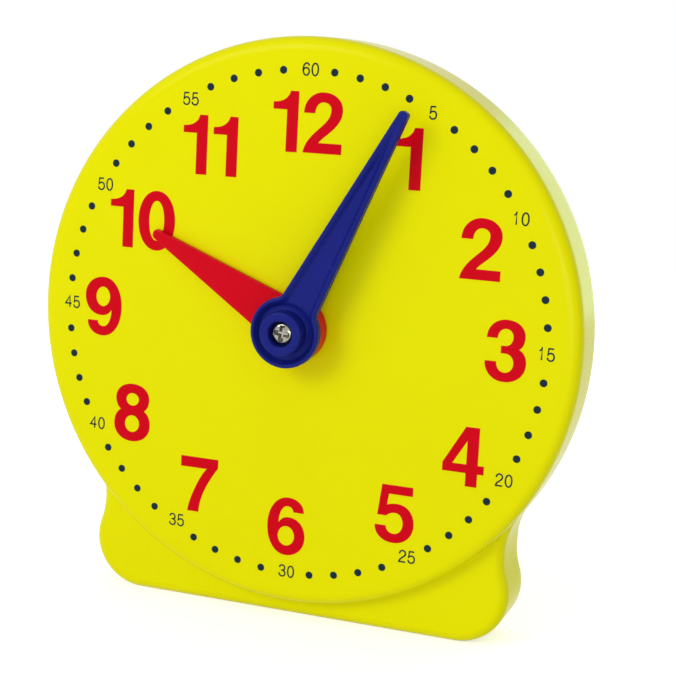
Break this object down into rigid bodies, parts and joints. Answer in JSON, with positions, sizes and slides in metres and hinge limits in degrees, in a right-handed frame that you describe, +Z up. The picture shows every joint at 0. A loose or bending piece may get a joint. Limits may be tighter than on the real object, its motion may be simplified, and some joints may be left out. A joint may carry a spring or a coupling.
{
  "type": "geared teaching clock",
  "caption": "Small geared classroom clock: round dial on a waisted base, with a plain hour hand and a channelled minute hand that turn together through a hidden gear train.",
  "frame": {"origin": "centre of the flat rest face under the base", "axes": "+Z up towards 12 o'clock, +X to the viewer's right, the dial faces -Y and the back +Y"},
  "size_m": [0.123, 0.028, 0.127],
  "materials": {
    "yellow_shell": "glossy moulded lemon yellow",
    "yellow_cover": "satin moulded lemon yellow",
    "red_hand": "glossy moulded red",
    "blue_hand": "glossy moulded royal blue",
    "gear_plastic": "natural white gear plastic",
    "bearing_plastic": "natural white bearing plastic",
    "washer_steel": "plain stamped steel",
    "spring_steel": "dished spring steel",
    "pin_steel": "bright ground steel",
    "screw_zinc": "bright zinc plate"
  },
  "bodies": {
    "case": {"front_shell": "yellow_shell", "rear_cover": "yellow_cover", "cover_screws": "screw_zinc", "centre_bush": "bearing_plastic", "hour_washer": "washer_steel", "thrust_washer": "washer_steel", "idler_washer": "washer_steel", "friction_spring": "spring_steel", "idler_pin": "pin_steel"},
    "minute": {"minute_arbor": "gear_plastic", "minute_hand": "blue_hand", "hand_screw": "screw_zinc"},
    "intermediate": {"compound_gear": "gear_plastic"},
    "hour": {"hour_wheel": "gear_plastic", "hour_hand": "red_hand"}
  },
  "joints": [
    {"name": "minute_turn", "type": "hinge", "parent": "case", "child": "minute", "pos_m": [0, -0.01225, 0.0655], "axis": [0, 1, 0], "continuous": true},
    {"name": "intermediate_turn", "type": "hinge", "parent": "case", "child": "intermediate", "pos_m": [0, -0.01225, 0.0855], "axis": [0, 1, 0], "continuous": true},
    {"name": "hour_turn", "type": "hinge", "parent": "case", "child": "hour", "pos_m": [0, -0.01225, 0.0655], "axis": [0, 1, 0], "continuous": true}
  ],
  "couplings": [
    {"joint": "intermediate_turn", "follows": "minute_turn", "ratio": -0.33333},
    {"joint": "hour_turn", "follows": "minute_turn", "ratio": 0.083333}
  ]
}
